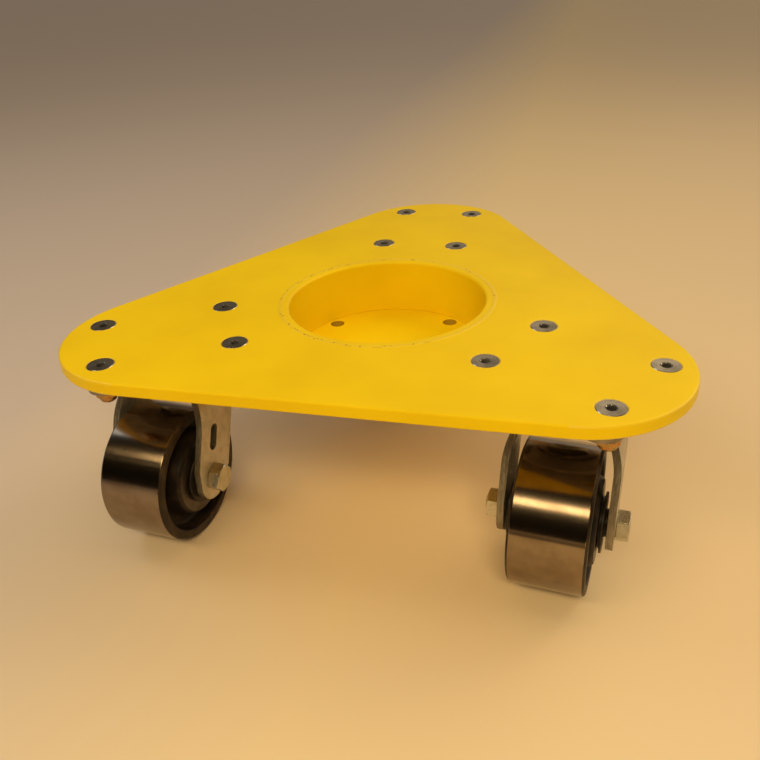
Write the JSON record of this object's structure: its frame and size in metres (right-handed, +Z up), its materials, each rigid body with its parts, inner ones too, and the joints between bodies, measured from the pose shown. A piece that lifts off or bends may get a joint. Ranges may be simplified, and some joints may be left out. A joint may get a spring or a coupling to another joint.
{
  "type": "triangular caster dolly",
  "caption": "Low triangular steel load dolly: a thick rounded deck with a round cup let into its middle, rolling on heavy swivel casters with steel wheels.",
  "frame": {"origin": "centre of the cup's mouth, level with the top of the deck", "axes": "+Z up out of the cup; +Y towards the rear corner; +X towards the right corner's side"},
  "size_m": [0.4438, 0.41, 0.1524],
  "materials": {
    "deck_paint": "satin yellow powder coat",
    "screw_zinc": "zinc plated, fine turning marks",
    "yellow_zinc": "yellow chromate zinc, iridescent",
    "zinc_plate": "zinc plated plate, sheared edges",
    "zinc_hardware": "bright zinc plating",
    "pin_steel": "turned steel",
    "ball_steel": "ground bearing steel, greased",
    "oiled_steel": "black oiled steel",
    "wheel_steel": "turned tread, dark oiled cast sides"
  },
  "bodies": {
    "deck": {"deck_plate": "deck_paint", "cup_tube": "deck_paint", "cup_floor": "deck_paint", "cup_welds": "deck_paint", "deck_screws": "screw_zinc", "lock_nuts": "yellow_zinc", "left_top_plate": "zinc_plate", "left_kingpin": "pin_steel", "left_kingpin_nut": "zinc_plate", "left_lower_race": "zinc_plate", "right_top_plate": "zinc_plate", "right_kingpin": "pin_steel", "right_kingpin_nut": "zinc_plate", "right_lower_race": "zinc_plate", "rear_top_plate": "zinc_plate", "rear_kingpin": "pin_steel", "rear_kingpin_nut": "zinc_plate", "rear_lower_race": "zinc_plate"},
    "left_fork": {"left_upper_balls": "ball_steel", "left_lower_balls": "ball_steel", "left_fork_crown": "zinc_plate", "left_nut_side_leg": "zinc_plate", "left_head_side_leg": "zinc_plate", "left_grease_fitting": "zinc_hardware", "left_axle_bolt": "zinc_hardware", "left_axle_nut": "zinc_hardware", "left_spanner_bushing": "oiled_steel", "left_retainer_washers": "oiled_steel"},
    "left_wheel_set": {"left_wheel": "wheel_steel", "left_roller_bearing": "ball_steel"},
    "right_fork": {"right_upper_balls": "ball_steel", "right_lower_balls": "ball_steel", "right_fork_crown": "zinc_plate", "right_nut_side_leg": "zinc_plate", "right_head_side_leg": "zinc_plate", "right_grease_fitting": "zinc_hardware", "right_axle_bolt": "zinc_hardware", "right_axle_nut": "zinc_hardware", "right_spanner_bushing": "oiled_steel", "right_retainer_washers": "oiled_steel"},
    "right_wheel_set": {"right_wheel": "wheel_steel", "right_roller_bearing": "ball_steel"},
    "rear_fork": {"rear_upper_balls": "ball_steel", "rear_lower_balls": "ball_steel", "rear_fork_crown": "zinc_plate", "rear_nut_side_leg": "zinc_plate", "rear_head_side_leg": "zinc_plate", "rear_grease_fitting": "zinc_hardware", "rear_axle_bolt": "zinc_hardware", "rear_axle_nut": "zinc_hardware", "rear_spanner_bushing": "oiled_steel", "rear_retainer_washers": "oiled_steel"},
    "rear_wheel_set": {"rear_wheel": "wheel_steel", "rear_roller_bearing": "ball_steel"}
  },
  "joints": [
    {"name": "left_swivel", "type": "hinge", "parent": "deck", "child": "left_fork", "pos_m": [-0.14575, -0.08415, -0.02865], "axis": [0, 0, 1], "continuous": true},
    {"name": "left_roll", "type": "hinge", "parent": "left_fork", "child": "left_wheel_set", "pos_m": [-0.14824, -0.11264, -0.10157], "axis": [0.9962, -0.0872, 0], "continuous": true},
    {"name": "right_swivel", "type": "hinge", "parent": "deck", "child": "right_fork", "pos_m": [0.14575, -0.08415, -0.02865], "axis": [0, 0, 1], "continuous": true},
    {"name": "right_roll", "type": "hinge", "parent": "right_fork", "child": "right_wheel_set", "pos_m": [0.14276, -0.11259, -0.10157], "axis": [0.9945, -0.1045, 0], "continuous": true},
    {"name": "rear_swivel", "type": "hinge", "parent": "deck", "child": "rear_fork", "pos_m": [0, 0.1683, -0.02865], "axis": [0, 0, 1], "continuous": true},
    {"name": "rear_roll", "type": "hinge", "parent": "rear_fork", "child": "rear_wheel_set", "pos_m": [-0.0015, 0.13974, -0.10157], "axis": [0.9986, -0.0523, 0], "continuous": true}
  ]
}
